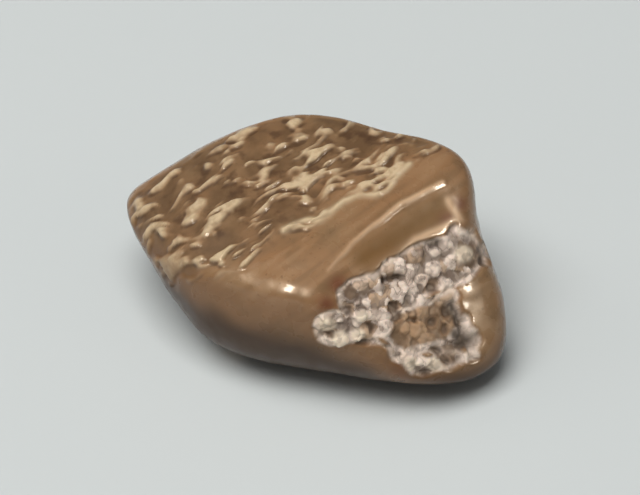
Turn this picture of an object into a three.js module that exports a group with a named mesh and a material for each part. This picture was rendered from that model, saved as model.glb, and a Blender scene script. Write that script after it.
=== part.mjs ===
// Chocolate pebble dragee: one solid, a sugar-shelled chocolate panned to look like a river stone.
// Millimetres, +Z up. The form is worked out about the heart of the pebble; at the end the part
// is moved so that the middle of the foot of its bounding box lies at the origin.
import * as THREE from 'three';
import { mergeVertices } from 'three/addons/utils/BufferGeometryUtils.js';

// The broad sides of the stone: where each one looks (degrees) and how far it lies from the heart.
const SIDES = [
  { name: 'top', azimuth: -112, elevation: 79, distance: 5.85 },
  { name: 'top left', azimuth: 190, elevation: 58, distance: 7.8 },
  { name: 'back', azimuth: 70, elevation: 30, distance: 8.6 },
  { name: 'back left', azimuth: 116, elevation: 30, distance: 9.6 },
  { name: 'left tip', azimuth: 184, elevation: -4, distance: 17.0 },
  { name: 'front left', azimuth: -143, elevation: -2, distance: 9.8 },
  { name: 'front', azimuth: -106, elevation: -4, distance: 8.7 },
  { name: 'front bevel', azimuth: -114, elevation: 46, distance: 8.4 },
  { name: 'scar face', azimuth: -56, elevation: 40, distance: 8.3 },
  { name: 'foot corner', azimuth: -52, elevation: -8, distance: 15.4 },
  { name: 'right', azimuth: 15, elevation: 4, distance: 10.9 },
  { name: 'belly front', azimuth: -96, elevation: -72, distance: 7.0 },
  { name: 'belly left', azimuth: 160, elevation: -72, distance: 6.5 },
  { name: 'belly back', azimuth: 48, elevation: -72, distance: 6.7 },
  { name: 'under front', azimuth: -106, elevation: -50, distance: 8.5 },
  { name: 'under back', azimuth: 80, elevation: -40, distance: 7.8 },
  { name: 'under left', azimuth: -176, elevation: -46, distance: 9.4 },
  { name: 'under right', azimuth: -10, elevation: -44, distance: 13.4 },
];

// How tightly the edges between the sides are rounded: a higher number gives a sharper edge.
const EDGE_SHARPNESS = 10;

// Shallow hollows worn into the stone: direction and spread in degrees, depth in mm.
const HOLLOWS = [
  { azimuth: 54, elevation: 28, depth: 0.7, spread: 13 },
  { azimuth: -2, elevation: 12, depth: 0.6, spread: 16 },
  { azimuth: -128, elevation: 12, depth: 0.35, spread: 20 },
];

// The stone is cut flat this far below its heart, which leaves the spot it rests on.
const REST_DEPTH = 5.9;

// Fineness of the surface: rows of triangles per icosahedron edge, and how strongly the rows
// gather on the broad face that looks up to the front.
const ROWS = 22;
const GATHER = 0.3;

// The broad face looks this far above the horizon, towards -Y.
const FACE_ELEVATION = 42;

// Crinkled zone of the shell: everything above a slanting foot line on the broad face, given by
// corners measured right and up from the heart, and patches on the back. Its crests run along the
// slant. A plain rim is left where the surface turns away from the broad face. Lengths in mm;
// rim and back are given by how squarely the surface looks along the broad face, 1 to -1.
const CRINKLE = {
  foot: [
    [-9.3, -2.7], [-4.5, -1.3], [-1.6, 0.0], [-0.2, 1.3],
    [1.8, 3.1], [4.4, 3.7], [6.1, 5.3], [8.1, 6.1],
  ],
  footWander: 0.5,
  footWanderSize: 1.6,
  footFade: [-0.2, 0.6],
  rimFade: [0.2, 0.5],
  backFade: [-0.05, -0.35],
  backFoot: [-1.5, 0.5],
  patchSize: 4.2,
  patchFade: [-0.3, 0.3],
  slant: 28,
  crestLength: 1.7,
  crestSpacing: 0.56,
  crestDepth: 1.6,
  crestRise: [-0.06, 0.48],
  bend: 0.45,
  bendSize: 2.1,
  height: 0.26,
  sink: 0.4,
};

// Where the crests crowd together: middle and radius on the broad face, and how much more they
// rise there.
const CROWDED_PATCHES = [
  { u: 4.1, v: 5.4, radius: 2.4, rise: 0.22 },
  { u: -9.9, v: -1.3, radius: 0.8, rise: 0.7 },
];

// The raised hem along the foot of the crinkled zone, the fine raised seam that bounds the smooth
// band, and the shallow trough beneath it, all measured on the broad face.
const HEM = {
  corners: [[-2.4, 1.4], [-0.1, 1.8], [1.6, 3.05], [4.4, 3.8], [5.9, 5.5]],
  halfWidth: 0.2,
  height: 0.14,
};
const SEAM = {
  corners: [[0.55, -1.5], [2.0, 0.15], [5.3, 2.85], [8.1, 4.3]],
  halfWidth: 0.15,
  height: 0.13,
};
const TROUGH = { corners: [[2.9, -0.6], [7.8, 2.6]], halfWidth: 0.95, depth: 0.18 };

// Scars where the smooth shell is missing and the pitted sugar crust shows. Each lies on a side
// that looks along its azimuth and elevation, and is made of strokes across that side: start,
// end and half width in mm, measured right and up from the heart.
const SCARS = [
  {
    azimuth: -90,
    elevation: FACE_ELEVATION,
    strokes: [
      { from: [0.5, -5.3], to: [2.9, -5.3], halfWidth: 1.1 },
      { from: [2.8, -3.4], to: [5.6, -2.5], halfWidth: 1.6 },
      { from: [5.6, -2.2], to: [9.2, -0.5], halfWidth: 1.8 },
      { from: [3.8, -4.9], to: [5.3, -6.1], halfWidth: 0.8 },
      { from: [6.0, -5.4], to: [7.9, -4.9], halfWidth: 1.35 },
      { from: [6.9, -3.9], to: [8.6, -3.2], halfWidth: 0.6 },
      { from: [8.7, -3.8], to: [9.3, -5.6], halfWidth: 0.45 },
      { from: [6.2, -7.7], to: [10.1, -7.1], halfWidth: 0.6 },
      { from: [9.4, -5.0], to: [10.0, -6.8], halfWidth: 0.55 },
      { from: [8.6, -6.4], to: [9.6, -6.4], halfWidth: 0.6 },
      { from: [3.3, -6.0], to: [5.8, -7.3], halfWidth: 0.35 },
      { from: [6.0, -6.6], to: [7.6, -6.7], halfWidth: 0.5 },
    ],
  },
  {
    azimuth: 78,
    elevation: 12,
    strokes: [
      { from: [-6.5, -0.3], to: [-2.5, 0.5], halfWidth: 0.9 },
      { from: [-3.2, 0.2], to: [0.4, -1.2], halfWidth: 1.2 },
      { from: [4.8, -2.6], to: [6.6, -1.8], halfWidth: 0.6 },
    ],
  },
  {
    azimuth: -160,
    elevation: -30,
    strokes: [{ from: [-2.4, -1.4], to: [1.6, -0.6], halfWidth: 0.8 }],
  },
];
const SCAR_DEPTH = 0.24;
const SCAR_REACH = 1.5;
const SCAR_EDGE = { wander: 0.45, wanderSize: 1.3, fade: 0.25 };

// Larger clumps of sugar in the shown scar, dark cracks through it, and two small smooth
// swellings of the shell, all measured on the broad face.
const CLUMPS = [
  { u: 0.4, v: -5.1, radius: 0.6 },
  { u: 1.3, v: -6.1, radius: 0.65 },
  { u: 2.5, v: -5.8, radius: 0.5 },
  { u: 2.8, v: -4.5, radius: 0.45 },
  { u: 9.5, v: -0.4, radius: 0.7 },
  { u: 6.0, v: -7.7, radius: 0.5 },
  { u: 7.6, v: -7.7, radius: 0.55 },
];
const CLUMP_HEIGHT = 0.28;
const CRACKS = [
  { corners: [[8.8, -3.9], [9.4, -5.6]], halfWidth: 0.36 },
  { corners: [[9.1, -5.7], [9.8, -6.2]], halfWidth: 0.55 },
  { corners: [[7.5, 0.2], [7.9, 0.3]], halfWidth: 0.3 },
  { corners: [[4.2, -2.1], [5.2, -1.9]], halfWidth: 0.24 },
];
const SWELLINGS = [
  { u: -2.0, v: -2.7, radius: 1.0 },
  { u: 9.8, v: -2.75, radius: 0.8 },
];
const SWELLING_HEIGHT = 0.07;

// Sugar grains of the crust: their size, how far they are shaken out of line, the height of the
// largest and the share of the smallest, the depth of the pits, and the share of the grains that
// are missing and leave a pit. A grain falls away between the two shares of its size.
const GRAIN = {
  size: 1.0,
  shake: 0.3,
  shakeSize: 0.6,
  fall: [0.25, 0.72],
  height: 0.3,
  least: 0.35,
  pitDepth: 0.34,
  pitShare: 0.2,
};

// Gentle unevenness of the shell as a whole.
const WAVE = { size: 6.5, height: 0.22 };
const RIPPLE = { size: 2.4, height: 0.05 };

// One seed for each field of noise, so that the fields do not repeat one another.
const SEED = {
  wave: 11,
  ripple: 13,
  scarEdge: 31,
  crinkleEdge: 41,
  crinklePatch: 43,
  crinkleBend: 10152,
  crinkleCrest: 1307,
  grains: 1132,
  shake: [71, 72, 73],
};

const SHELL_COLOUR = 0x957456;
const SHELL_ROUGHNESS = 0.3;

function facing(azimuth, elevation) {
  const a = THREE.MathUtils.degToRad(azimuth);
  const e = THREE.MathUtils.degToRad(elevation);
  return new THREE.Vector3(Math.cos(a) * Math.cos(e), Math.sin(a) * Math.cos(e), Math.sin(e));
}

// Right, up and outward directions of a side seen square on.
function sideFrame(azimuth, elevation) {
  const out = facing(azimuth, elevation);
  const right = facing(azimuth + 90, 0);
  const up = new THREE.Vector3().crossVectors(out, right);
  return { right, up, out };
}

// 0 at low, 1 at high and a smooth change between; low may also be the larger of the two.
function smoothstep(low, high, value) {
  const t = THREE.MathUtils.clamp((value - low) / (high - low), 0, 1);
  return t * t * (3 - 2 * t);
}

// Seeded whole-number hash of a grid corner.
function cornerHash(ix, iy, iz, seed) {
  let h = Math.imul(ix, 374761393) + Math.imul(iy, 668265263);
  h = (h + Math.imul(iz, 1440662683) + Math.imul(seed, 1013904223)) | 0;
  h = Math.imul(h ^ (h >>> 13), 1274126177);
  return (h ^ (h >>> 16)) >>> 0;
}

function hashPart(h, part) {
  return ((h >>> (10 * part)) & 1023) / 1023;
}

function ease(t) {
  return t * t * t * (t * (t * 6 - 15) + 10);
}

// Smooth gradient noise; the gain brings it to roughly -1 to 1.
const NOISE_GAIN = 1.6;
function noise(x, y, z, seed) {
  const ix = Math.floor(x);
  const iy = Math.floor(y);
  const iz = Math.floor(z);
  let sum = 0;
  for (let corner = 0; corner < 8; corner += 1) {
    const cx = corner & 1;
    const cy = (corner >> 1) & 1;
    const cz = (corner >> 2) & 1;
    const dx = x - ix - cx;
    const dy = y - iy - cy;
    const dz = z - iz - cz;
    const h = cornerHash(ix + cx, iy + cy, iz + cz, seed);
    const slope = (hashPart(h, 0) * 2 - 1) * dx + (hashPart(h, 1) * 2 - 1) * dy
      + (hashPart(h, 2) * 2 - 1) * dz;
    sum += slope * ease(1 - Math.abs(dx)) * ease(1 - Math.abs(dy)) * ease(1 - Math.abs(dz));
  }
  return sum * NOISE_GAIN;
}

function noiseAt(point, size, seed) {
  return noise(point.x / size, point.y / size, point.z / size, seed);
}

// Distance to the nearest of a field of scattered seeds, one in each cell of a grid, with a random
// value for it. The distance is in cells; the 3 by 3 by 3 cells about the point are searched.
function scatteredCell(point, size, seed) {
  const x = point.x / size;
  const y = point.y / size;
  const z = point.z / size;
  let nearest = Infinity;
  let value = 0;
  for (let i = 0; i < 27; i += 1) {
    const cx = Math.floor(x) + (i % 3) - 1;
    const cy = Math.floor(y) + (Math.floor(i / 3) % 3) - 1;
    const cz = Math.floor(z) + Math.floor(i / 9) - 1;
    const h = cornerHash(cx, cy, cz, seed);
    const dx = cx + hashPart(h, 0) - x;
    const dy = cy + hashPart(h, 1) - y;
    const dz = cz + hashPart(h, 2) - z;
    const distance = Math.hypot(dx, dy, dz);
    if (distance < nearest) {
      nearest = distance;
      value = hashPart(cornerHash(cx, cy, cz, seed + 1), 0);
    }
  }
  return { nearest, value };
}

// Distance from the heart to the rounded many-sided form in a given direction.
function stoneRadius(direction) {
  let sum = 0;
  for (const side of SIDES) {
    const reach = direction.dot(side.normal) / side.distance;
    sum += Math.max(0, reach) ** EDGE_SHARPNESS;
  }
  let radius = sum ** (-1 / EDGE_SHARPNESS);
  for (const hollow of HOLLOWS) {
    const fall = 1 - Math.cos(THREE.MathUtils.degToRad(hollow.spread));
    radius -= hollow.depth * Math.exp((direction.dot(hollow.normal) - 1) / fall);
  }
  return radius;
}

// Outward direction of the rounded form at a point on it.
function stoneNormal(point) {
  const normal = new THREE.Vector3();
  for (const side of SIDES) {
    const reach = Math.max(0, point.dot(side.normal) / side.distance);
    normal.addScaledVector(side.normal, reach ** (EDGE_SHARPNESS - 1) / side.distance);
  }
  return normal.normalize();
}

// Position of a point on a side seen square on: right, up and out.
function onSide(point, frame) {
  return { u: point.dot(frame.right), v: point.dot(frame.up), w: point.dot(frame.out) };
}

function distanceToStroke(u, v, from, to) {
  const du = to[0] - from[0];
  const dv = to[1] - from[1];
  const along = ((u - from[0]) * du + (v - from[1]) * dv) / (du * du + dv * dv);
  const t = THREE.MathUtils.clamp(along, 0, 1);
  return Math.hypot(u - from[0] - t * du, v - from[1] - t * dv);
}

// 1 along a line of corners, falling off to 0 over its half width.
function softLine(u, v, line) {
  let distance = Infinity;
  for (let i = 1; i < line.corners.length; i += 1) {
    const stroke = distanceToStroke(u, v, line.corners[i - 1], line.corners[i]);
    distance = Math.min(distance, stroke);
  }
  return Math.exp(-((distance / line.halfWidth) ** 2));
}

// 1 at the middle of a round spot, falling off over its radius.
function softSpot(u, v, spot) {
  return Math.exp(-((Math.hypot(u - spot.u, v - spot.v) / spot.radius) ** 2));
}

// Height at u of a line whose corners run from left to right.
function lineHeight(u, corners) {
  const [first] = corners;
  const last = corners[corners.length - 1];
  if (u <= first[0]) return first[1];
  if (u >= last[0]) return last[1];
  const next = corners.findIndex((corner) => corner[0] > u);
  const [u0, v0] = corners[next - 1];
  const [u1, v1] = corners[next];
  return THREE.MathUtils.mapLinear(u, u0, u1, v0, v1);
}

const SHOWN_FACE = sideFrame(-90, FACE_ELEVATION);

// How far a point lies inside a scar: 0 on the shell, 1 on open crust.
function scarAmount(point) {
  const wander = noiseAt(point, SCAR_EDGE.wanderSize, SEED.scarEdge) * SCAR_EDGE.wander;
  let inside = -Infinity;
  for (const scar of SCARS) {
    const { u, v, w } = onSide(point, scar.frame);
    if (w < SCAR_REACH) continue;
    for (const stroke of scar.strokes) {
      const distance = distanceToStroke(u, v, stroke.from, stroke.to);
      const depth = stroke.halfWidth - distance + wander;
      inside = Math.max(inside, depth);
    }
  }
  return smoothstep(-SCAR_EDGE.fade / 2, SCAR_EDGE.fade / 2, inside);
}

// How strongly the shell is crinkled at a point.
function crinkleAmount(point) {
  const { u, v } = onSide(point, SHOWN_FACE);
  const wander = noiseAt(point, CRINKLE.footWanderSize, SEED.crinkleEdge) * CRINKLE.footWander;
  const above = v - lineHeight(u, CRINKLE.foot) + wander;
  const turned = stoneNormal(point).dot(SHOWN_FACE.out);
  const broad = smoothstep(...CRINKLE.footFade, above) * smoothstep(...CRINKLE.rimFade, turned);
  const patchNoise = noiseAt(point, CRINKLE.patchSize, SEED.crinklePatch);
  const back = smoothstep(...CRINKLE.backFade, turned)
    * smoothstep(...CRINKLE.backFoot, point.z)
    * smoothstep(...CRINKLE.patchFade, patchNoise);
  return Math.max(broad, back);
}

// Height of the crinkles: broken crests that run along the slant of the foot line.
function crinkleCrest(point) {
  const { u, v, w } = onSide(point, SHOWN_FACE);
  const slant = THREE.MathUtils.degToRad(CRINKLE.slant);
  const along = u * Math.cos(slant) + v * Math.sin(slant);
  const across = v * Math.cos(slant) - u * Math.sin(slant);
  const bend = noiseAt(point, CRINKLE.bendSize, SEED.crinkleBend) * CRINKLE.bend;
  const wave = noise((along + bend) / CRINKLE.crestLength, (across + bend) / CRINKLE.crestSpacing,
    w / CRINKLE.crestDepth, SEED.crinkleCrest);
  let crowding = 0;
  for (const patch of CROWDED_PATCHES) crowding += patch.rise * softSpot(u, v, patch);
  return smoothstep(...CRINKLE.crestRise, wave + crowding);
}

// Height of the hem, the seam, the trough and the swellings on the broad face.
function shellRelief(point, shell) {
  const { u, v, w } = onSide(point, SHOWN_FACE);
  if (w < SCAR_REACH) return 0;
  const raised = HEM.height * softLine(u, v, HEM) + SEAM.height * softLine(u, v, SEAM);
  const swelling = Math.max(...SWELLINGS.map((spot) => softSpot(u, v, spot)));
  const trough = TROUGH.depth * softLine(u, v, TROUGH);
  return raised * shell - trough + SWELLING_HEIGHT * swelling;
}

// Height of the sugar grains, clumps, pits and cracks of the crust.
function crustRelief(point) {
  const { u, v, w } = onSide(point, SHOWN_FACE);
  const shown = w < SCAR_REACH ? 0 : 1;
  const clump = shown * Math.max(...CLUMPS.map((spot) => softSpot(u, v, spot)));
  const crack = shown * Math.max(...CRACKS.map((line) => softLine(u, v, line)));
  const shift = SEED.shake.map((seed) => noiseAt(point, GRAIN.shakeSize, seed) * GRAIN.shake);
  const shaken = new THREE.Vector3(...shift).add(point);
  const { nearest, value } = scatteredCell(shaken, GRAIN.size, SEED.grains);
  const body = 1 - smoothstep(...GRAIN.fall, nearest);
  const grain = body * THREE.MathUtils.lerp(GRAIN.least, 1, value) * GRAIN.height;
  const pit = value < GRAIN.pitShare ? body * (1 - clump) : 0;
  return grain + clump * CLUMP_HEIGHT - Math.max(pit, crack) * GRAIN.pitDepth - SCAR_DEPTH;
}

// Height of the surface above the plain form at a point.
function reliefHeight(point) {
  const scar = scarAmount(point);
  const shell = 1 - scar;
  const crinkle = crinkleAmount(point) * shell;
  return noiseAt(point, WAVE.size, SEED.wave) * WAVE.height
    + noiseAt(point, RIPPLE.size, SEED.ripple) * RIPPLE.height * shell
    + crinkle * CRINKLE.height * (crinkleCrest(point) - CRINKLE.sink)
    + shellRelief(point, shell)
    + scar * crustRelief(point);
}

function surfacePoint(direction) {
  const point = direction.clone().multiplyScalar(stoneRadius(direction));
  const normal = stoneNormal(point);
  point.addScaledVector(normal, reliefHeight(point));
  point.z = Math.max(point.z, -REST_DEPTH);
  return point;
}

function prepareDirections() {
  for (const side of SIDES) side.normal = facing(side.azimuth, side.elevation);
  for (const hollow of HOLLOWS) hollow.normal = facing(hollow.azimuth, hollow.elevation);
  for (const scar of SCARS) scar.frame = sideFrame(scar.azimuth, scar.elevation);
}

// A ball of near-even triangles whose corners are drawn out to the surface of the stone. Corners
// of the ball closer together than the merging distance become one.
const MERGING_DISTANCE = 1e-4;
function pebbleGeometry() {
  const ball = new THREE.IcosahedronGeometry(1, ROWS);
  ball.deleteAttribute('normal');
  ball.deleteAttribute('uv');
  const geometry = mergeVertices(ball, MERGING_DISTANCE);
  const corners = geometry.getAttribute('position');
  const direction = new THREE.Vector3();
  for (let i = 0; i < corners.count; i += 1) {
    direction.fromBufferAttribute(corners, i).addScaledVector(SHOWN_FACE.out, GATHER).normalize();
    const point = surfacePoint(direction);
    corners.setXYZ(i, point.x, point.y, point.z);
  }
  geometry.computeBoundingBox();
  const box = geometry.boundingBox;
  geometry.translate(-(box.min.x + box.max.x) / 2, -(box.min.y + box.max.y) / 2, -box.min.z);
  geometry.computeVertexNormals();
  return geometry;
}

prepareDirections();

const shellMaterial = new THREE.MeshStandardMaterial({
  name: 'sugar_shell',
  color: SHELL_COLOUR,
  roughness: SHELL_ROUGHNESS,
  metalness: 0,
});

const pebble = new THREE.Mesh(pebbleGeometry(), shellMaterial);
pebble.name = 'pebble_dragee';

const part = new THREE.Group();
part.name = 'chocolate_pebble_dragee';
part.add(pebble);

export default part;
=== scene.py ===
# Chocolate pebble dragee: a sugar-shelled chocolate made to look like a river stone, lying on its
# flat spot on a pale floor. The form is worked out in millimetres about the heart of the pebble
# and laid over the solid of the frame in metres.
from math import atan, cos, radians, sin, tan

import bpy
import numpy as np
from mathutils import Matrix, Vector


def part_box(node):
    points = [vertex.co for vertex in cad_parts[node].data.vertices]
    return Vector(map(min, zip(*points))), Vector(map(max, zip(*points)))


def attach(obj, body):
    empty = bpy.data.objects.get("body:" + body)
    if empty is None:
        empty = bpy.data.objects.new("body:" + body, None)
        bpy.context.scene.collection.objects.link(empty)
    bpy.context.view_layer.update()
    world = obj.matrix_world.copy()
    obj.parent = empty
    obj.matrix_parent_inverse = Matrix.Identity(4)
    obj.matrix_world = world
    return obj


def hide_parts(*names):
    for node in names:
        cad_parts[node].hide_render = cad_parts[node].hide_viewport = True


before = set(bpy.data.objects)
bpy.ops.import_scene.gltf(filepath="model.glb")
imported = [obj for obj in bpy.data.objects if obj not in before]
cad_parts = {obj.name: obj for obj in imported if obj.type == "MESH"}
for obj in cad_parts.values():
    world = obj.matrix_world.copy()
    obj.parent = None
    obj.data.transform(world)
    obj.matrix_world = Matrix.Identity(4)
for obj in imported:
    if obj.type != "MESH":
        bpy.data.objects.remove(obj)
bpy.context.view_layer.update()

MM = 0.001
NODE = "pebble_dragee"

# The broad sides of the stone: where each one looks (azimuth and elevation in degrees) and how
# far it lies from the heart in mm.
SIDES = {
    "top": (-112, 79, 5.85),
    "top left": (190, 58, 7.8),
    "back": (70, 30, 8.6),
    "back left": (116, 30, 9.6),
    "left tip": (184, -4, 17.0),
    "front left": (-143, -2, 9.8),
    "front": (-106, -4, 8.7),
    "front bevel": (-114, 46, 8.4),
    "scar face": (-56, 40, 8.3),
    "foot corner": (-52, -8, 15.4),
    "right": (15, 4, 10.9),
    "belly front": (-96, -72, 7.0),
    "belly left": (160, -72, 6.5),
    "belly back": (48, -72, 6.7),
    "under front": (-106, -50, 8.5),
    "under back": (80, -40, 7.8),
    "under left": (-176, -46, 9.4),
    "under right": (-10, -44, 13.4),
}

# How tightly the edges between the sides are rounded: a higher number gives a sharper edge.
EDGE_SHARPNESS = 10

# Shallow hollows worn into the stone: azimuth, elevation, depth in mm and spread in degrees.
HOLLOWS = [
    (54, 28, 0.7, 13),
    (-2, 12, 0.6, 16),
    (-128, 12, 0.35, 20),
]

# The stone is flat this far below its heart, where it rests.
REST_DEPTH = 5.9

# Fineness of the surface: squares along each edge of the cube that the ball is made from, and
# how strongly they gather on the broad face that looks up to the front.
ROWS = 128
GATHER = 0.3

# The broad face looks this far above the horizon, to the front. Places on it are measured right
# and up from the heart in mm.
FACE_ELEVATION = 42

# Gentle unevenness of the whole, and the finest one, of the smooth shell.
WAVE_SIZE = 6.5
WAVE_HEIGHT = 0.22
RIPPLE_SIZE = 2.4
RIPPLE_HEIGHT = 0.05
PEEL_SIZE = 0.8
PEEL_HEIGHT = 0.012

# The crinkled zone lies above a slanting foot line on the broad face and in patches on the back.
# A plain rim is left where the surface turns away from the broad face. Rim and back are given by
# how squarely the surface looks along the broad face, 1 to -1.
CRINKLE_FOOT = [
    (-9.3, -2.7),
    (-4.5, -1.3),
    (-1.6, 0.0),
    (-0.2, 1.3),
    (1.8, 3.1),
    (4.4, 3.7),
    (6.1, 5.3),
    (8.1, 6.1),
]
FOOT_WANDER = 0.5
FOOT_WANDER_SIZE = 1.6
FOOT_FADE = (-0.2, 0.6)
ABOVE_FOOT_FADE = (0.0, 2.2)
RIM_FADE = (0.2, 0.5)
BACK_FADE = (-0.05, -0.35)
BACK_FOOT = (-1.5, 0.5)
PATCH_SIZE = 4.2
PATCH_FADE = (-0.3, 0.3)

# The crests run along the slant of the foot line, and finer ones ride on them.
CRINKLE_HEIGHT = 0.26
CRINKLE_SINK = 0.4
CREST_SLANT = 28
CREST_SIZE = (1.7, 0.56, 1.6)
CREST_SHARE = 0.7
FINE_CREST_SHARE = 0.4
FINE_CREST_RATIO = 1.9
CREST_RISE = (-0.06, 0.48)
BEND = 0.45
BEND_SIZE = 2.1

# Where the crests crowd together: middle and radius on the broad face in mm, and how much more
# they rise there.
CROWDED_PATCHES = [(4.1, 5.4, 2.4, 0.22), (-9.9, -1.3, 0.8, 0.7)]

# Painted shadow: the lower side of each crest is painted darker, as the crest's shadow. A crest is
# looked for this far right and up of it.
CREST_SHADOW_SHIFT = (0.12, 0.26, 0.0)

# Long faint streaks of the smooth shell: their slant in degrees, their length, width and depth,
# and how squarely the surface looks along the broad face where they fade in.
STREAK_SLANT = 36
STREAK_SIZE = (3.6, 0.5, 2.0)
STREAK_FADE = (0.45, 0.85)

# The raised hem along the foot of the crinkled zone, the fine raised seam that bounds the smooth
# band and grows to the right, and the shallow trough beneath it.
HEM = [(-2.4, 1.4), (-0.1, 1.8), (1.6, 3.05), (4.4, 3.8), (5.9, 5.5)]
HEM_HALF_WIDTH = 0.2
HEM_HEIGHT = 0.14
# The seam's pale tone is partly its own cream and partly a painted highlight along its crest,
# stronger to the right.
SEAM = [(0.55, -1.5), (2.0, 0.15), (5.3, 2.85), (8.1, 4.3)]
SEAM_HALF_WIDTH = 0.15
SEAM_HEIGHT = 0.13
SEAM_GROWTH = (0.0, 6.5)
SEAM_LEAST = 0.4
SEAM_WAVER = 0.4
TROUGH = [(2.9, -0.6), (7.8, 2.6)]
TROUGH_HALF_WIDTH = 0.95
TROUGH_DEPTH = 0.18

# A pale line painted in the shell. Where it bounds the right end of the trough it is a painted
# highlight; where it follows the scar's edge it is the shell's pale rim.
PALE_RIM_AND_HIGHLIGHT = [(8.55, 3.1), (9.1, 1.9), (7.6, 1.05), (6.4, 0.55), (5.5, -0.15)]
PALE_RIM_AND_HIGHLIGHT_HALF_WIDTH = 0.27

# Lines and spots on the broad face waver, and the hem is broken.
WAVER = 0.25
WAVER_SIZE = 1.5
BREAK_SIZE = 0.9
BREAK_MIDDLE = 0.95
BREAK_SPREAD = 0.5
BREAK_LEAST = 0.4

# Two small smooth swellings of the shell that catch the light: middle and radius.
SWELLINGS = [(-2.0, -2.7, 1.0), (9.8, -2.75, 0.8)]
SWELLING_HEIGHT = 0.07

# Reddish stains of the shell beside the scar: middle and radius.
STAINS = [(1.2, -2.4, 0.65), (0.4, -3.7, 0.6), (8.5, 1.8, 0.6), (9.2, 2.9, 0.5), (5.4, -7.9, 0.7)]

# Scars where the smooth shell is missing: the azimuth and elevation of the side they lie on, and
# the strokes that make them up, as start, end and half width on that side.
SCARS = [
    (-90, FACE_ELEVATION, [
        ((0.5, -5.3), (2.9, -5.3), 1.1),
        ((2.8, -3.4), (5.6, -2.5), 1.6),
        ((5.6, -2.2), (9.2, -0.5), 1.8),
        ((3.8, -4.9), (5.3, -6.1), 0.8),
        ((6.0, -5.4), (7.9, -4.9), 1.35),
        ((6.9, -3.9), (8.6, -3.2), 0.6),
        ((8.7, -3.8), (9.3, -5.6), 0.45),
        ((6.2, -7.7), (10.1, -7.1), 0.6),
        ((9.4, -5.0), (10.0, -6.8), 0.55),
        ((8.6, -6.4), (9.6, -6.4), 0.6),
        ((3.3, -6.0), (5.8, -7.3), 0.35),
        ((6.0, -6.6), (7.6, -6.7), 0.5),
    ]),
    (78, 12, [
        ((-6.5, -0.3), (-2.5, 0.5), 0.9),
        ((-3.2, 0.2), (0.4, -1.2), 1.2),
        ((4.8, -2.6), (6.6, -1.8), 0.6),
    ]),
    (-160, -30, [
        ((-2.4, -1.4), (1.6, -0.6), 0.8),
    ]),
]
SCAR_DEPTH = 0.24
SCAR_REACH = 1.5
SCAR_EDGE_WANDER = 0.45
SCAR_EDGE_WANDER_SIZE = 1.3
SCAR_EDGE_FADE = (-0.125, 0.125)
SCAR_RIM_FADE = (0.6, 0.1)

# The island in the middle of the shown scar, where a brown skin still covers the grains.
ISLAND = [(6.0, -5.4), (7.8, -4.9)]
ISLAND_HALF_WIDTH = 1.25
ISLAND_FADE = (0.3, 0.5)

# Larger clumps of sugar in the shown scar, and dark cracks through it.
CLUMPS = [
    (0.4, -5.1, 0.6),
    (1.3, -6.1, 0.65),
    (2.5, -5.8, 0.5),
    (2.8, -4.5, 0.45),
    (9.5, -0.4, 0.7),
    (6.0, -7.7, 0.5),
    (7.6, -7.7, 0.55),
]
CLUMP_HEIGHT = 0.28
CRACKS = [
    ((8.8, -3.9), (9.4, -5.6), 0.36),
    ((9.1, -5.7), (9.8, -6.2), 0.55),
    ((7.5, 0.2), (7.9, 0.3), 0.3),
    ((4.2, -2.1), (5.2, -1.9), 0.24),
]

# Sugar grains of the crust: their size, how far they are shaken out of line, the height of the
# largest and the share of the smallest, the depth of the pits and the share of the grains that
# are missing and leave a pit. A grain falls away between the two shares of its size.
GRAIN_SIZE = 1.0
GRAIN_SHAKE = 0.3
GRAIN_SHAKE_SIZE = 0.6
GRAIN_FALL = (0.25, 0.72)
GRAIN_HEIGHT = 0.3
GRAIN_LEAST = 0.35
PIT_DEPTH = 0.34
PIT_SHARE = 0.2

# Fine grains between them, which rise and sink about the level of the crust.
FINE_GRAIN_SIZE = 0.45
FINE_GRAIN_FALL = (0.2, 0.75)
FINE_GRAIN_HEIGHT = 0.1
FINE_GRAIN_LEAST = 0.3
FINE_GRAIN_LEVEL = 0.5

# Painted shade on the low side, a dark brown all round the lower part: its upper edge falls
# to the right between two heights, wanders and is soft.
LOW_EDGE_MIDDLE = -0.9
LOW_EDGE_SLOPE = -0.4
LOW_EDGE_RANGE = (-3.2, -0.3)
LOW_EDGE_WANDER = 0.6
LOW_EDGE_WANDER_SIZE = 2.2
LOW_EDGE_FADE = (1.4, -1.2)

# Painted shade: the flanks are painted a darker, richer brown the less the surface looks upward.
FLANK_FADE = (0.55, 0.15)

# One seed for each field of noise, so that the fields do not repeat one another. The shake of
# the grains uses three in a row, and the edge of the painted shade on the low side shares the seed
# of the wave.
SEED = {
    "wave": 11,
    "ripple": 13,
    "peel": 17,
    "scar edge": 31,
    "crinkle edge": 41,
    "crinkle patch": 43,
    "crinkle bend": 10152,
    "crinkle crest": 1307,
    "fine crest": 6164,
    "grains": 1132,
    "fine grains": 67,
    "line waver": 69,
    "line strength": 70,
    "shake": 71,
    "streak": 81,
}


# Noise fields

# Large odd numbers that stir the three whole coordinates of a corner, its seed and the result.
CORNER_FACTORS = (374761393, 668265263, 1440662683)
SEED_FACTOR = 1013904223
STIR_FACTOR = 1274126177
WORD_RANGE = 2**32

# Each hash holds three values of ten bits.
PART_BITS = 10
PART_RANGE = 2**PART_BITS - 1

# Brings the noise to roughly -1 to 1.
NOISE_GAIN = 1.6


def corner_hash(ix, iy, iz, seed):
    """Seeded whole-number hash of grid corners."""
    h = np.uint32(seed * SEED_FACTOR % WORD_RANGE)
    for part, factor in zip((ix, iy, iz), CORNER_FACTORS):
        h = h + part.astype(np.int64).astype(np.uint32) * np.uint32(factor)
    h = (h ^ (h >> np.uint32(13))) * np.uint32(STIR_FACTOR)
    return h ^ (h >> np.uint32(16))


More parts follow.
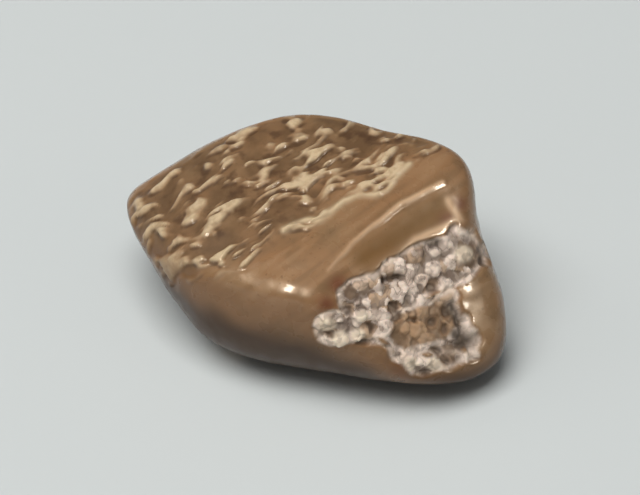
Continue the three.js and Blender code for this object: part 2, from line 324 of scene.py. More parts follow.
def hash_part(h, part):
    """One of three values from 0 to 1 held in a hash."""
    return ((h >> np.uint32(PART_BITS * part)) & np.uint32(PART_RANGE)) / PART_RANGE


def ease(t):
    """0 at 0 and 1 at 1, level at both ends."""
    return t * t * t * (t * (t * 6 - 15) + 10)


def noise(points, seed):
    """Smooth gradient noise at an array of points, from the eight corners of their cells."""
    cell = np.floor(points)
    total = np.zeros(len(points))
    for corner in range(8):
        step = np.array([corner & 1, (corner >> 1) & 1, (corner >> 2) & 1])
        away = points - cell - step
        h = corner_hash(*(cell + step).T, seed)
        slope = sum((hash_part(h, axis) * 2 - 1) * away[:, axis] for axis in range(3))
        total += slope * np.prod(ease(1 - np.abs(away)), axis=1)
    return total * NOISE_GAIN


def scattered_cells(points, size, seed):
    """Distance in cells to the nearest of a field of scattered seeds, and a value for it.

    The seed is looked for in the cell of each point and in the 26 cells around that.
    """
    points = points / size
    base = np.floor(points)
    nearest = np.full(len(points), np.inf)
    value = np.zeros(len(points))
    for i in range(27):
        cell = base + np.array([i % 3, i // 3 % 3, i // 9]) - 1
        h = corner_hash(*cell.T, seed)
        away = cell + np.stack([hash_part(h, axis) for axis in range(3)], axis=1) - points
        distance = np.linalg.norm(away, axis=1)
        closer = distance < nearest
        value = np.where(closer, hash_part(corner_hash(*cell.T, seed + 1), 0), value)
        nearest = np.where(closer, distance, nearest)
    return nearest, value


def smoothstep(low, high, value):
    """0 at low, 1 at high and a smooth change between; low may also be the larger of the two."""
    t = np.clip((value - low) / (high - low), 0, 1)
    return t * t * (3 - 2 * t)


# The stone's form

def facing(azimuth, elevation):
    a = radians(azimuth)
    e = radians(elevation)
    return np.array([cos(a) * cos(e), sin(a) * cos(e), sin(e)])


def side_frame(azimuth, elevation):
    """Right, up and outward directions of a side seen square on."""
    out = facing(azimuth, elevation)
    right = facing(azimuth + 90, 0)
    return np.stack([right, np.cross(out, right), out])


SHOWN_FACE = side_frame(-90, FACE_ELEVATION)


def stone_radius(directions):
    """Distance from the heart to the rounded many-sided form."""
    total = np.zeros(len(directions))
    for azimuth, elevation, distance in SIDES.values():
        reach = directions @ facing(azimuth, elevation) / distance
        total += np.maximum(0, reach) ** EDGE_SHARPNESS
    radius = total ** (-1 / EDGE_SHARPNESS)
    for azimuth, elevation, depth, spread in HOLLOWS:
        fall = 1 - cos(radians(spread))
        radius -= depth * np.exp((directions @ facing(azimuth, elevation) - 1) / fall)
    return radius


def stone_normal(points):
    """Outward direction of the rounded form at points on it."""
    normal = np.zeros_like(points)
    for azimuth, elevation, distance in SIDES.values():
        side = facing(azimuth, elevation)
        reach = np.maximum(0, points @ side / distance)
        normal += (reach ** (EDGE_SHARPNESS - 1) / distance)[:, None] * side
    return normal / np.linalg.norm(normal, axis=1, keepdims=True)


# Relief of the shell and the crust

def distance_to_stroke(u, v, start, end):
    du = end[0] - start[0]
    dv = end[1] - start[1]
    along = ((u - start[0]) * du + (v - start[1]) * dv) / (du * du + dv * dv)
    t = np.clip(along, 0, 1)
    return np.hypot(u - start[0] - t * du, v - start[1] - t * dv)


def soft_line(u, v, corners, half_width):
    """1 along a line of strokes, falling off to 0 over its half width."""
    strokes = zip(corners[:-1], corners[1:])
    distance = np.min([distance_to_stroke(u, v, *stroke) for stroke in strokes], axis=0)
    return np.exp(-(distance / half_width) ** 2)


def soft_spots(u, v, spots):
    """1 at the middle of each round spot, falling off over its radius."""
    spread = [((u - at_u) ** 2 + (v - at_v) ** 2) / radius ** 2 for at_u, at_v, radius in spots]
    return np.exp(-np.min(spread, axis=0))


def line_waver(points):
    """Small wandering shift of the lines and spots on the broad face."""
    return noise(points / WAVER_SIZE, SEED["line waver"]) * WAVER


def slanted(points, slant):
    """Places along and across a slanting line on the broad face, and out from it."""
    u, v, w = SHOWN_FACE @ points.T
    turn = radians(slant)
    along = u * cos(turn) + v * sin(turn)
    across = v * cos(turn) - u * sin(turn)
    return np.stack([along, across, w], axis=1)


def squareness(points):
    """How squarely the surface looks along the broad face, 1 to -1."""
    return stone_normal(points) @ SHOWN_FACE[2]


def scar_inside(points):
    """How far inside a scar a point lies, in mm; below 0 on the shell."""
    wander = noise(points / SCAR_EDGE_WANDER_SIZE, SEED["scar edge"]) * SCAR_EDGE_WANDER
    inside = np.full(len(points), -np.inf)
    for azimuth, elevation, strokes in SCARS:
        u, v, w = side_frame(azimuth, elevation) @ points.T
        for start, end, half_width in strokes:
            depth = half_width - distance_to_stroke(u, v, start, end) + wander
            inside = np.maximum(inside, np.where(w < SCAR_REACH, -np.inf, depth))
    return inside


def crinkle_amount(points):
    """How strongly the shell is crinkled, and how far above the foot line it lies, 0 to 1."""
    u, v, w = SHOWN_FACE @ points.T
    foot_u, foot_v = zip(*CRINKLE_FOOT)
    wander = noise(points / FOOT_WANDER_SIZE, SEED["crinkle edge"]) * FOOT_WANDER
    above = v - np.interp(u, foot_u, foot_v) + wander
    turned = squareness(points)
    broad = smoothstep(*FOOT_FADE, above) * smoothstep(*RIM_FADE, turned)
    patchy = smoothstep(*PATCH_FADE, noise(points / PATCH_SIZE, SEED["crinkle patch"]))
    back = smoothstep(*BACK_FADE, turned) * smoothstep(*BACK_FOOT, points[:, 2]) * patchy
    return np.maximum(broad, back), smoothstep(*ABOVE_FOOT_FADE, above)


def crinkle_crest(points):
    """Height of the crinkles: broken crests that run along the slant of the foot line."""
    u, v, w = SHOWN_FACE @ points.T
    bend = noise(points / BEND_SIZE, SEED["crinkle bend"]) * BEND
    place = slanted(points, CREST_SLANT)
    place[:, :2] += bend[:, None]
    place /= CREST_SIZE
    wave = noise(place, SEED["crinkle crest"]) * CREST_SHARE
    wave += noise(place * FINE_CREST_RATIO, SEED["fine crest"]) * FINE_CREST_SHARE
    for at_u, at_v, radius, rise in CROWDED_PATCHES:
        wave += rise * soft_spots(u, v, [(at_u, at_v, radius)])
    return smoothstep(*CREST_RISE, wave)


def crinkles(points, shell):
    """Height of the crinkled zone and the marks that colour it."""
    amount, above_foot = crinkle_amount(points)
    amount = amount * shell
    crest = crinkle_crest(points)
    # Painted shadow: darker where a crest lies just right of and above the point.
    crest_shadow = crinkle_crest(points + SHOWN_FACE.T @ np.array(CREST_SHADOW_SHIFT)) - crest
    marks = {
        "crinkle": amount,
        "crest": crest * amount,
        "crest_shadow": np.clip(crest_shadow, 0, 1) * amount,
        "above_foot": above_foot,
    }
    return amount * CRINKLE_HEIGHT * (crest - CRINKLE_SINK), marks


def shell_lines(points, shell, shown):
    """Height of the hem, the seam, the trough and the swellings, and the marks that colour them."""
    u, v, w = SHOWN_FACE @ points.T
    waver = line_waver(points)
    strength = BREAK_MIDDLE + noise(points / BREAK_SIZE, SEED["line strength"]) * BREAK_SPREAD
    hem = soft_line(u, v + waver, HEM, HEM_HALF_WIDTH) * shown * shell
    hem *= np.clip(strength, BREAK_LEAST, 1.0)
    seam = soft_line(u, v + waver * SEAM_WAVER, SEAM, SEAM_HALF_WIDTH) * shown * shell
    seam *= SEAM_LEAST + smoothstep(*SEAM_GROWTH, u) * (1 - SEAM_LEAST)
    trough = soft_line(u, v, TROUGH, TROUGH_HALF_WIDTH) * shown
    # Pale rim along the scar's edge, and a painted highlight at the trough's right end.
    pale_rim_and_highlight = soft_line(u + waver, v, PALE_RIM_AND_HIGHLIGHT, PALE_RIM_AND_HIGHLIGHT_HALF_WIDTH) * shown * shell
    swelling = soft_spots(u, v, SWELLINGS) * shown
    height = HEM_HEIGHT * hem + SEAM_HEIGHT * seam
    height += SWELLING_HEIGHT * swelling - TROUGH_DEPTH * trough
    return height, {"hem": hem, "seam": seam, "trough": trough, "pale_rim_and_highlight": pale_rim_and_highlight}


def shaken_out_of_line(points):
    """Points with small wandering shifts that keep the grains from looking ruled."""
    shift = [noise(points / GRAIN_SHAKE_SIZE, SEED["shake"] + axis) for axis in range(3)]
    return points + np.stack(shift, axis=1) * GRAIN_SHAKE


def crust(points, scar, shown):
    """Height of the sugar grains, clumps, pits and cracks of the scars, and their marks."""
    u, v, w = SHOWN_FACE @ points.T
    waver = line_waver(points)
    shaken = shaken_out_of_line(points)
    nearest, value = scattered_cells(shaken, GRAIN_SIZE, SEED["grains"])
    body = 1 - smoothstep(*GRAIN_FALL, nearest)
    grain = body * (GRAIN_LEAST + (1 - GRAIN_LEAST) * value) * GRAIN_HEIGHT

    fine_nearest, fine_value = scattered_cells(shaken, FINE_GRAIN_SIZE, SEED["fine grains"])
    fine_body = 1 - smoothstep(*FINE_GRAIN_FALL, fine_nearest)
    fine = fine_body * (FINE_GRAIN_LEAST + (1 - FINE_GRAIN_LEAST) * fine_value)
    fine = (fine - FINE_GRAIN_LEVEL) * FINE_GRAIN_HEIGHT

    clump = soft_spots(u + waver, v, CLUMPS) * shown
    cracks = [soft_line(u + waver, v, (start, end), half) for start, end, half in CRACKS]
    crack = np.max(cracks, axis=0) * shown
    pit = (value < PIT_SHARE) * body * (1 - clump)
    island = soft_line(u + waver, v + waver, ISLAND, ISLAND_HALF_WIDTH) * shown
    dent = np.maximum(pit, crack) * PIT_DEPTH
    height = scar * (grain + fine + clump * CLUMP_HEIGHT - dent - SCAR_DEPTH)
    marks = {
        "clump": clump,
        "island": smoothstep(*ISLAND_FADE, island),
        "grain": value,
        "gap": 1 - body,
        "pit": pit,
        "crack": crack * scar,
        "fine_grain": fine_value,
        "fine_gap": 1 - fine_body,
    }
    return height, marks


def shaded_low_side(points):
    """1 on the low side of the pebble, painted dark as shade, 0 above its soft wandering edge."""
    edge = np.clip(LOW_EDGE_MIDDLE + LOW_EDGE_SLOPE * points[:, 0], *LOW_EDGE_RANGE)
    wander = noise(points / LOW_EDGE_WANDER_SIZE, SEED["wave"]) * LOW_EDGE_WANDER
    return smoothstep(*LOW_EDGE_FADE, points[:, 2] - edge + wander)


def flow_streaks(points):
    """Long faint streaks in the shell of the broad face, beside the seam; about -1 to 1."""
    streaks = noise(slanted(points, STREAK_SLANT) / STREAK_SIZE, SEED["streak"])
    return streaks * smoothstep(*STREAK_FADE, squareness(points))


def relief(points):
    """Height of the surface above the plain form, and the marks that colour it."""
    u, v, w = SHOWN_FACE @ points.T
    shown = (w > SCAR_REACH).astype(float)
    inside = scar_inside(points)
    scar = smoothstep(*SCAR_EDGE_FADE, inside)
    shell = 1 - scar
    height = noise(points / WAVE_SIZE, SEED["wave"]) * WAVE_HEIGHT
    height += noise(points / RIPPLE_SIZE, SEED["ripple"]) * RIPPLE_HEIGHT * shell
    height += noise(points / PEEL_SIZE, SEED["peel"]) * PEEL_HEIGHT * shell
    marks = {
        "scar": scar,
        "scar_rim": smoothstep(*SCAR_RIM_FADE, inside) * scar,
        "stain": soft_spots(u, v, STAINS) * shown * shell,
        "streak": flow_streaks(points),
        # Painted shade: the flanks darker the less they look upward.
        "shaded_flank": smoothstep(*FLANK_FADE, stone_normal(points)[:, 2]),
        # Painted shade: the low side is darkened in colour.
        "shaded_low_side": shaded_low_side(points),
    }
    features = (
        crinkles(points, shell),
        shell_lines(points, shell, shown),
        crust(points, scar, shown),
    )
    for feature_height, feature_marks in features:
        height += feature_height
        marks.update(feature_marks)
    return height, marks


# The pebble's mesh

def cube_lattice(rows):
    """Whole-number corners of the squares on the six faces of a cube, face after face."""
    steps = np.arange(rows + 1)
    first, second = (grid.ravel() for grid in np.meshgrid(steps, steps, indexing="ij"))
    faces = []
    for axis in range(3):
        for end in (0, rows):
            face = np.empty((len(first), 3), dtype=np.int64)
            face[:, axis] = end
            face[:, (axis + 1) % 3] = first if end else second
            face[:, (axis + 2) % 3] = second if end else first
            faces.append(face)
    return np.concatenate(faces)


def ball_grid(rows):
    """Directions and squares of a ball made from a cube with rows of squares on each face."""
    lattice = cube_lattice(rows)
    keys = (lattice[:, 0] * (rows + 1) + lattice[:, 1]) * (rows + 1) + lattice[:, 2]
    keep, shared = np.unique(keys, return_index=True, return_inverse=True)[1:]
    spread = np.tan((lattice[keep] / rows - 0.5) * np.pi / 2)
    directions = spread / np.linalg.norm(spread, axis=1, keepdims=True)

    shared = shared.reshape(6, rows + 1, rows + 1)
    squares = np.stack([
        shared[:, :-1, :-1],
        shared[:, 1:, :-1],
        shared[:, 1:, 1:],
        shared[:, :-1, 1:],
    ], axis=-1).reshape(-1, 4)
    return directions, squares


def pebble_surface():
    """Points of the pebble about its heart in mm, its squares and its marks."""
    directions, squares = ball_grid(ROWS)
    directions = directions + SHOWN_FACE[2] * GATHER
    directions /= np.linalg.norm(directions, axis=1, keepdims=True)
    plain = directions * stone_radius(directions)[:, None]
    height, marks = relief(plain)
    points = plain + stone_normal(plain) * height[:, None]
    points[:, 2] = np.maximum(points[:, 2], -REST_DEPTH)
    return points, squares, marks


def heart_in_frame(points):
    """Where the pebble's heart lies, with its middle over the solid's and its flat on the floor."""
    low, high = (Vector(corner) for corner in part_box(NODE))
    middle = (points.min(axis=0) + points.max(axis=0)) / 2
    return Vector((
        (low.x + high.x) / 2 - middle[0] * MM,
        (low.y + high.y) / 2 - middle[1] * MM,
        low.z + REST_DEPTH * MM,
    ))


def make_pebble():
    points, squares, marks = pebble_surface()
    heart = heart_in_frame(points)
    mesh = bpy.data.meshes.new("pebble")
    mesh.from_pydata((points * MM + np.array(heart)).tolist(), [], squares.tolist())
    mesh.shade_smooth()
    for name, values in marks.items():
        layer = mesh.attributes.new(name, "FLOAT", "POINT")
        layer.data.foreach_set("value", values.astype(np.float32))
    pebble = bpy.data.objects.new("pebble", mesh)
    bpy.context.scene.collection.objects.link(pebble)
    return pebble, heart


# Materials

def tone(red, green, blue):
    """A colour given as it looks on a screen, 0 to 255, in the linear form a shader takes."""
    def linear(level):
        level = level / 255
        return level / 12.92 if level <= 0.04045 else ((level + 0.055) / 1.055) ** 2.4
    return (linear(red), linear(green), linear(blue), 1.0)


class Value:
    """A socket of a material's graph that takes part in plain arithmetic."""

    def __init__(self, graph, socket):
        self.graph = graph
        self.socket = socket

    def math(self, operation, first, second):
        return self.graph.node("ShaderNodeMath", {"operation": operation}, {0: first, 1: second})

    def __add__(self, other):
        return self.math("ADD", self, other)

    def __radd__(self, other):
        return self.math("ADD", other, self)

    def __sub__(self, other):
        return self.math("SUBTRACT", self, other)

    def __rsub__(self, other):
        return self.math("SUBTRACT", other, self)

    def __mul__(self, other):
        return self.math("MULTIPLY", self, other)

    def __rmul__(self, other):
        return self.math("MULTIPLY", other, self)


class Graph:
    """The nodes of one material."""

    def __init__(self, name):
        self.material = bpy.data.materials.new(name)
        self.material.use_nodes = True
        self.tree = self.material.node_tree
        self.tree.nodes.clear()

    def node(self, kind, settings, inputs, output=0):
        made = self.tree.nodes.new(kind)
        for setting, value in settings.items():
            setattr(made, setting, value)
        for socket, value in inputs.items():
            if isinstance(value, Value):
                self.tree.links.new(value.socket, made.inputs[socket])
            else:
                made.inputs[socket].default_value = value
        return Value(self, made.outputs[output])

    def mark(self, name):
        return self.node("ShaderNodeAttribute", {"attribute_name": name}, {}, "Fac")

    def place(self):
        """The point on the surface, in mm."""
        spot = self.node("ShaderNodeTexCoord", {}, {}, "Object")
        return self.node("ShaderNodeVectorMath", {"operation": "SCALE"}, {0: spot, "Scale": 1 / MM})

    def speckle(self, place, size, detail):
        """Soft noise from 0 to 1 with blotches of a given size in mm."""
        return self.node("ShaderNodeTexNoise", {},
                         {"Vector": place, "Scale": 1 / size, "Detail": detail})

    def step(self, value, low, high):
        """0 at low, 1 at high and a smooth change between."""
        return self.node("ShaderNodeMapRange", {"interpolation_type": "SMOOTHSTEP"},
                         {0: value, 1: low, 2: high})

    def blotches(self, place, size, detail, low, high):
        """Soft blotches: 1 where the noise is above high, 0 where it is below low."""
        return self.step(self.speckle(place, size, detail), low, high)

    def blend(self, factor, first, second):
        """Two colours mixed, by the numbers of the sockets that the Mix node has for colours."""
        return self.node("ShaderNodeMix", {"data_type": "RGBA"}, {0: factor, 6: first, 7: second}, 2)

    def finish(self, shader):
        output = self.tree.nodes.new("ShaderNodeOutputMaterial")
        self.tree.links.new(shader.socket, output.inputs["Surface"])
        return self.material


# Tones of the smooth shell, of the crinkles, of the crust and of the floor.
TAN = tone(146, 114, 81)
WARM_TAN = tone(151, 113, 78)
DULL_TAN = tone(124, 96, 67)
# Painted shade of the flanks that look less upward.
PALE_TAN = tone(166, 131, 96)
FLANK_SHADE_BROWN = tone(110, 70, 31)
# Painted shade of the low side.
LOW_SIDE_SHADE_BROWN = tone(50, 29, 14)
RED_STAIN = tone(112, 64, 44)
TROUGH_BROWN = tone(102, 67, 18)
# Pale cream of the seam, partly a painted highlight; also the pale rim and the painted highlight
# line.
SEAM_CREAM_AND_HIGHLIGHT = tone(222, 184, 146)
CREAM = tone(215, 190, 153)
# Partly the shell's darker brown and partly painted shade between the crests.
VALLEY_BROWN_AND_SHADE = tone(105, 79, 54)
# Dark brown of the specks and the island's gaps, and painted shade in the valleys and below the
# crests.
DARK_BROWN_AND_SHADE = tone(78, 54, 37)
CRUST_WHITE = tone(240, 219, 201)
CRUST_CREAM = tone(243, 224, 198)
CRUST_TAN = tone(190, 160, 132)
CRUST_GREY = tone(150, 131, 119)
CRUST_DARK = tone(70, 50, 39)
CRACK_BROWN = tone(38, 26, 21)
ISLAND_BROWN = tone(172, 136, 101)
FLOOR_TONE = tone(212, 216, 214)

# Soft blotches in the colours and the gloss: size in mm, detail, and the two noise levels
# between which they come in.
MOTTLE = (5.0, 2.0, 0.38, 0.62)
DULL_BLOTCHES = (1.6, 3.0, 0.5, 0.72)
DARK_SPECKS = (0.3, 2.0, 0.66, 0.74)
VALLEY_CLOUDS = (1.8, 4.0, 0.35, 0.65)
# Blotches of painted shade in the crinkle valleys.
VALLEY_SHADE_BLOTCHES = (1.3, 3.0, 0.52, 0.7)
CREST_FLECKS = (0.5, 2.0, 0.3, 0.6)
GLOSS_PATCHES = (1.1, 2.0, 0.3, 0.7)

# Where each mark's tone comes in: the value of the mark at which it starts, and at which it is full.
FADE = {
    "dull streak": (0.0, 0.6),
    "pale streak": (0.0, -0.6),
    "valley": (0.2, 1.0),
    "crest_shadow": (0.1, 0.8),
    "crest": (0.1, 1.2),
    "pale grains": (0.35, 0.6),
    "grey grains": (0.6, 0.7),
    "white grains": (0.85, 0.9),
    "clump": (0.2, 0.7),
    "gap": (0.6, 1.0),
    "fine gap": (0.6, 1.0),
    "island skin": (0.2, 0.6),
    "island gap": (0.5, 1.0),
    "dull trough": (0.1, 0.5),
    "no glaze": (0.0, 0.9),
}

# How strongly each feature takes on its tone, 0 to 1.
STRENGTH = {
    "dull blotches": 0.6,
    "dark specks": 0.35,
    "dull streak": 0.5,
    "pale streak": 0.45,
    "valley shade": 0.7,
    "crest_shadow": 0.65,
    "grey grains": 0.7,
    "white grains": 0.8,
    "rim": 0.8,
    "clump": 0.8,
    "gap": 0.75,
    "gap in white": 0.55,
    "fine gap": 0.35,
    "island gap": 0.6,
    "island": 0.9,
    "pit": 0.9,
    "crack": 0.9,
    "trough": 0.8,
    "hem": 0.95,
    "seam": 0.85,
    "pale rim and highlight": 0.75,
    "stain": 0.85,
    "shaded_flank": 0.55,
    "shaded low side": 0.93,
}


def shell_colour(graph, place):
    """Mottled tan of the smooth shell, with long faint streaks."""
    streak = graph.mark("streak")
    dull = graph.blotches(place, *DULL_BLOTCHES) * STRENGTH["dull blotches"]
    specks = graph.blotches(place, *DARK_SPECKS) * STRENGTH["dark specks"]
    dull_streak = graph.step(streak, *FADE["dull streak"]) * STRENGTH["dull streak"]
    pale_streak = graph.step(streak, *FADE["pale streak"]) * STRENGTH["pale streak"]
    colour = graph.blend(graph.blotches(place, *MOTTLE), TAN, WARM_TAN)
    colour = graph.blend(dull, colour, DULL_TAN)
    colour = graph.blend(dull_streak, colour, DULL_TAN)
    colour = graph.blend(pale_streak, colour, PALE_TAN)
    return graph.blend(specks, colour, DARK_BROWN_AND_SHADE)


# The valleys are what the crests leave free, each crest counted this much wider than it is.
CREST_REACH = 1.6

# The valley tone, partly a darker brown and partly painted shade, is cloudy and the cream of the
# crests is flecked: the least strength of each, and what the blotches add to it.
VALLEY_LEAST = 0.4
VALLEY_CLOUDINESS = 0.55
CREAM_LEAST = 0.6
CREAM_FLECKS = 0.4


def crinkle_colour(graph, place, shell):
    """Cream crests over darker valleys, partly painted shade, with a painted shadow below each
    crest.
    """
    crest = graph.mark("crest")
    free = graph.mark("crinkle") - crest * CREST_REACH
    valley = graph.step(free, *FADE["valley"]) * graph.mark("above_foot")
    clouds = VALLEY_LEAST + graph.blotches(place, *VALLEY_CLOUDS) * VALLEY_CLOUDINESS
    # Blotches of painted shade in the valleys.
    shade_blotches = graph.blotches(place, *VALLEY_SHADE_BLOTCHES) * STRENGTH["valley shade"]
    # Painted shadow below each crest.
    crest_shadow = graph.step(graph.mark("crest_shadow"), *FADE["crest_shadow"]) * STRENGTH["crest_shadow"]
    flecks = CREAM_LEAST + graph.blotches(place, *CREST_FLECKS) * CREAM_FLECKS
    colour = graph.blend(valley * clouds, shell, VALLEY_BROWN_AND_SHADE)
    colour = graph.blend(valley * shade_blotches, colour, DARK_BROWN_AND_SHADE)
    colour = graph.blend(crest_shadow, colour, DARK_BROWN_AND_SHADE)
    return graph.blend(graph.step(crest, *FADE["crest"]) * flecks, colour, CREAM)


def grain_colour(graph):
    """White, tan and grey sugar grains, whitest at the rim of the scar and on the clumps."""
    fine = graph.mark("fine_grain")
    pale = graph.step(graph.mark("grain"), *FADE["pale grains"])
    grey = graph.step(fine, *FADE["grey grains"]) * STRENGTH["grey grains"]
    white = graph.step(fine, *FADE["white grains"]) * STRENGTH["white grains"]
    clump = graph.step(graph.mark("clump"), *FADE["clump"])
    colour = graph.blend(pale, CRUST_TAN, CRUST_WHITE)
    colour = graph.blend(grey, colour, CRUST_GREY)
    colour = graph.blend(white, colour, CRUST_WHITE)
    colour = graph.blend(graph.mark("scar_rim") * STRENGTH["rim"], colour, CRUST_WHITE)
    return graph.blend(clump * STRENGTH["clump"], colour, CRUST_CREAM)


def gap_strength(graph):
    """Dark gaps between the grains, fainter at the rim of the scar and on the clumps."""
    rim = graph.mark("scar_rim")
    clump = graph.step(graph.mark("clump"), *FADE["clump"])
    white = rim + clump - rim * clump
    gap = graph.step(graph.mark("gap"), *FADE["gap"])
    return gap * (STRENGTH["gap"] - white * STRENGTH["gap in white"])


def island_colour(graph):
    """Brown skin that still covers the grains in the middle of the scar."""
    brown = graph.step(graph.mark("fine_grain"), *FADE["island skin"])
    gap = graph.step(graph.mark("gap"), *FADE["island gap"]) * STRENGTH["island gap"]
    return graph.blend(gap, graph.blend(brown, TAN, ISLAND_BROWN), DARK_BROWN_AND_SHADE)


def crust_colour(graph):
    """Sugar crust of the scars, with its gaps, pits, cracks and island."""
    fine_gap = graph.step(graph.mark("fine_gap"), *FADE["fine gap"]) * STRENGTH["fine gap"]
    colour = graph.blend(gap_strength(graph), grain_colour(graph), CRUST_DARK)
    colour = graph.blend(fine_gap, colour, CRUST_DARK)
    colour = graph.blend(graph.mark("island") * STRENGTH["island"], colour, island_colour(graph))
    colour = graph.blend(graph.mark("pit") * STRENGTH["pit"], colour, CRUST_DARK)
    return graph.blend(graph.mark("crack") * STRENGTH["crack"], colour, CRACK_BROWN)


def pebble_colour(graph, place):
    colour = shell_colour(graph, place)
    colour = graph.blend(graph.mark("trough") * STRENGTH["trough"], colour, TROUGH_BROWN)
    colour = crinkle_colour(graph, place, colour)
    colour = graph.blend(graph.mark("hem") * STRENGTH["hem"], colour, CREAM)
    # The seam's pale tone is partly a painted highlight.
    colour = graph.blend(graph.mark("seam") * STRENGTH["seam"], colour, SEAM_CREAM_AND_HIGHLIGHT)
    colour = graph.blend(graph.mark("stain") * STRENGTH["stain"], colour, RED_STAIN)
    # Painted highlight at the right end of the trough, and the pale rim along the scar's edge.
    colour = graph.blend(graph.mark("pale_rim_and_highlight") * STRENGTH["pale rim and highlight"], colour, SEAM_CREAM_AND_HIGHLIGHT)
    # Painted shade: the flanks darker the less they look upward.
    colour = graph.blend(graph.mark("shaded_flank") * STRENGTH["shaded_flank"], colour, FLANK_SHADE_BROWN)
    # Painted shade: the low side is given a dark brown.
    colour = graph.blend(graph.mark("shaded_low_side") * STRENGTH["shaded low side"], colour, LOW_SIDE_SHADE_BROWN)
    return graph.blend(graph.mark("scar"), colour, crust_colour(graph))


# How dull the parts of the shell are, where the crust is 1.
TROUGH_DULLNESS = 0.95
LOW_SIDE_DULLNESS = 0.4
CRINKLE_DULLNESS = 0.5


def dullness(graph):
    """0 on the glossy shell, up to 1 or more on the crust and in the trough."""
    trough = graph.step(graph.mark("trough"), *FADE["dull trough"]) * TROUGH_DULLNESS
    low = graph.mark("shaded_low_side") * LOW_SIDE_DULLNESS
    crinkled = graph.mark("crinkle") * CRINKLE_DULLNESS
    return graph.mark("scar") + trough + low + crinkled


# Gloss of the shell and of its clear glaze, and how much rougher the dull places are.
GLOSSY_ROUGHNESS = 0.2
PATCHY_ROUGHNESS = 0.16
DULL_ROUGHNESS = 0.25
GLAZE = 0.4
GLAZE_ROUGHNESS = 0.08
WARM_SHEEN = (1.0, 0.86, 0.7, 1.0)

# How strongly light bends in the sugar and in its glaze.
SUGAR_BENDING = 1.42
GLAZE_BENDING = 1.45

# The faint glow of light inside the sugar: its share, its depth in mm, and how far red, green and
# blue reach of that.
GLOW = 0.06
GLOW_DEPTH = 0.6
GLOW_REACH = (1.0, 0.5, 0.25)

# The finest bumps: size, detail and height in mm, their strength, and what is left of them on the
# smooth shell.
BUMP_SIZE = 0.22
BUMP_DETAIL = 3.0
BUMP_HEIGHT = 0.03
BUMP_STRENGTH = 0.25
BUMP_ON_SHELL = 0.25


def sugar_shell_material():
    graph = Graph("sugar_shell")
    place = graph.place()
    dull = dullness(graph)
    gloss_patches = graph.blotches(place, *GLOSS_PATCHES) * PATCHY_ROUGHNESS
    bumps = graph.speckle(place, BUMP_SIZE, BUMP_DETAIL)
    normal = graph.node("ShaderNodeBump", {}, {
        "Strength": BUMP_STRENGTH,
        "Distance": BUMP_HEIGHT * MM,
        "Height": bumps * (BUMP_ON_SHELL + graph.mark("scar")),
    })
    shader = graph.node("ShaderNodeBsdfPrincipled", {}, {
        "Base Color": pebble_colour(graph, place),
        "Roughness": GLOSSY_ROUGHNESS + gloss_patches + dull * DULL_ROUGHNESS,
        "Coat Weight": GLAZE - graph.step(dull, *FADE["no glaze"]) * GLAZE,
        "Coat Roughness": GLAZE_ROUGHNESS,
        "IOR": SUGAR_BENDING,
        "Coat IOR": GLAZE_BENDING,
        "Specular Tint": WARM_SHEEN,
        "Subsurface Weight": GLOW,
        "Subsurface Radius": GLOW_REACH,
        "Subsurface Scale": GLOW_DEPTH * MM,
        "Normal": normal,
    })
    return graph.finish(shader)


FLOOR_ROUGHNESS = 0.6


def floor_material():
    graph = Graph("pale_floor")
    shader = graph.node("ShaderNodeBsdfPrincipled", {}, {
        "Base Color": FLOOR_TONE,
        "Roughness": FLOOR_ROUGHNESS,
    })
    return graph.finish(shader)


# Stage, light and camera

FLOOR_HALF_WIDTH = 1.5


def make_floor():
    mesh = bpy.data.meshes.new("floor")
    half = FLOOR_HALF_WIDTH
    mesh.from_pydata([(-half, -half, 0), (half, -half, 0), (half, half, 0), (-half, half, 0)],
                     [], [(0, 1, 2, 3)])
    mesh.materials.append(floor_material())
    floor = bpy.data.objects.new("floor", mesh)
    bpy.context.scene.collection.objects.link(floor)


def aim(thing, place, target):
    thing.location = place
    thing.rotation_euler = (Vector(target) - Vector(place)).to_track_quat("-Z", "Y").to_euler()


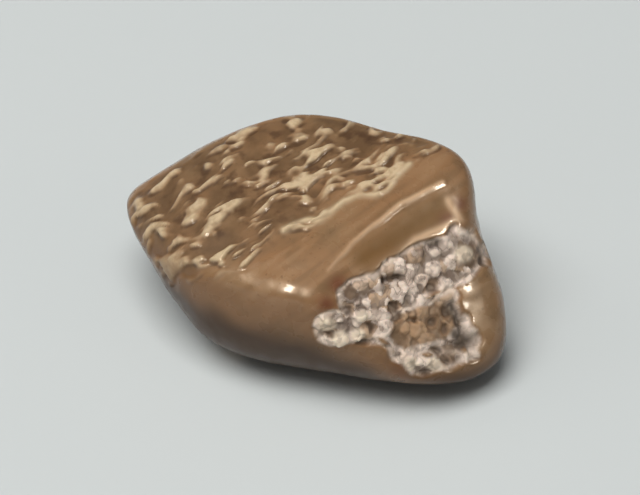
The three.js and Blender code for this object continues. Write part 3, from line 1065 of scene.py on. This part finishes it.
# Lamps about the pebble: azimuth and elevation, distance, width and height in metres, and power in
# watts. The overhead lamp gives the soft even light and shows in no gloss; the glints are small
# warm lamps that show only as bright spots in the gloss.
OVERHEAD = (-140, 74, 0.8, 0.6, 0.6, 6.45)
WINDOW = (170, 40, 0.7, 0.35, 0.35, 0.3)
GLINTS = {
    "seam_glint": (-12, 58, 0.6, 0.05, 0.05, 0.36),
    "left_glint": (-127, 28, 0.6, 0.08, 0.24, 3.6),
    "right_glint": (-22, 31, 0.6, 0.14, 0.14, 3.0),
}
WHITE_LIGHT = (1.0, 1.0, 1.0)
WARM_LIGHT = (1.0, 0.94, 0.84)
ROOM_LIGHT = (0.9, 0.95, 1.0, 1.0)
ROOM_STRENGTH = 0.12


def make_lamp(name, target, azimuth, elevation, distance, width, height, watts, colour):
    light = bpy.data.lights.new(name, "AREA")
    light.shape = "RECTANGLE"
    light.size = width
    light.size_y = height
    light.energy = watts
    light.color = colour
    lamp = bpy.data.objects.new(name, light)
    bpy.context.scene.collection.objects.link(lamp)
    aim(lamp, Vector(target) + Vector(facing(azimuth, elevation)) * distance, target)
    return lamp


def make_lights(target):
    world = bpy.data.worlds.new("room")
    world.use_nodes = True
    background = world.node_tree.nodes["Background"]
    background.inputs["Color"].default_value = ROOM_LIGHT
    background.inputs["Strength"].default_value = ROOM_STRENGTH
    bpy.context.scene.world = world
    overhead = make_lamp("overhead", target, *OVERHEAD, WHITE_LIGHT)
    overhead.visible_glossy = False
    make_lamp("window", target, *WINDOW, WHITE_LIGHT)
    for name, setting in GLINTS.items():
        glint = make_lamp(name, target, *setting, WARM_LIGHT)
        glint.visible_diffuse = False


# The view: a long way off for its size, as a close crop of a wider picture is. Lengths in metres,
# the sensor in millimetres.
VIEW_WIDTH = 0.0425
VIEW_DISTANCE = 0.48
VIEW_NEAR = 0.01
SENSOR_WIDTH = 36.0


def make_camera(target):
    data = bpy.data.cameras.new("camera")
    data.sensor_width = SENSOR_WIDTH
    half_angle = atan(VIEW_WIDTH / 2 / VIEW_DISTANCE)
    data.lens = SENSOR_WIDTH / (2 * tan(half_angle))
    data.clip_start = VIEW_NEAR
    camera = bpy.data.objects.new("camera", data)
    bpy.context.scene.collection.objects.link(camera)
    aim(camera, Vector(target) + Vector(facing(-90, FACE_ELEVATION)) * VIEW_DISTANCE, target)
    bpy.context.scene.camera = camera


pebble, heart = make_pebble()
pebble.data.materials.append(sugar_shell_material())
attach(pebble, "root")
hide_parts(NODE)

make_floor()
make_lights(heart)
make_camera(heart)
bpy.context.scene.view_settings.view_transform = "Standard"
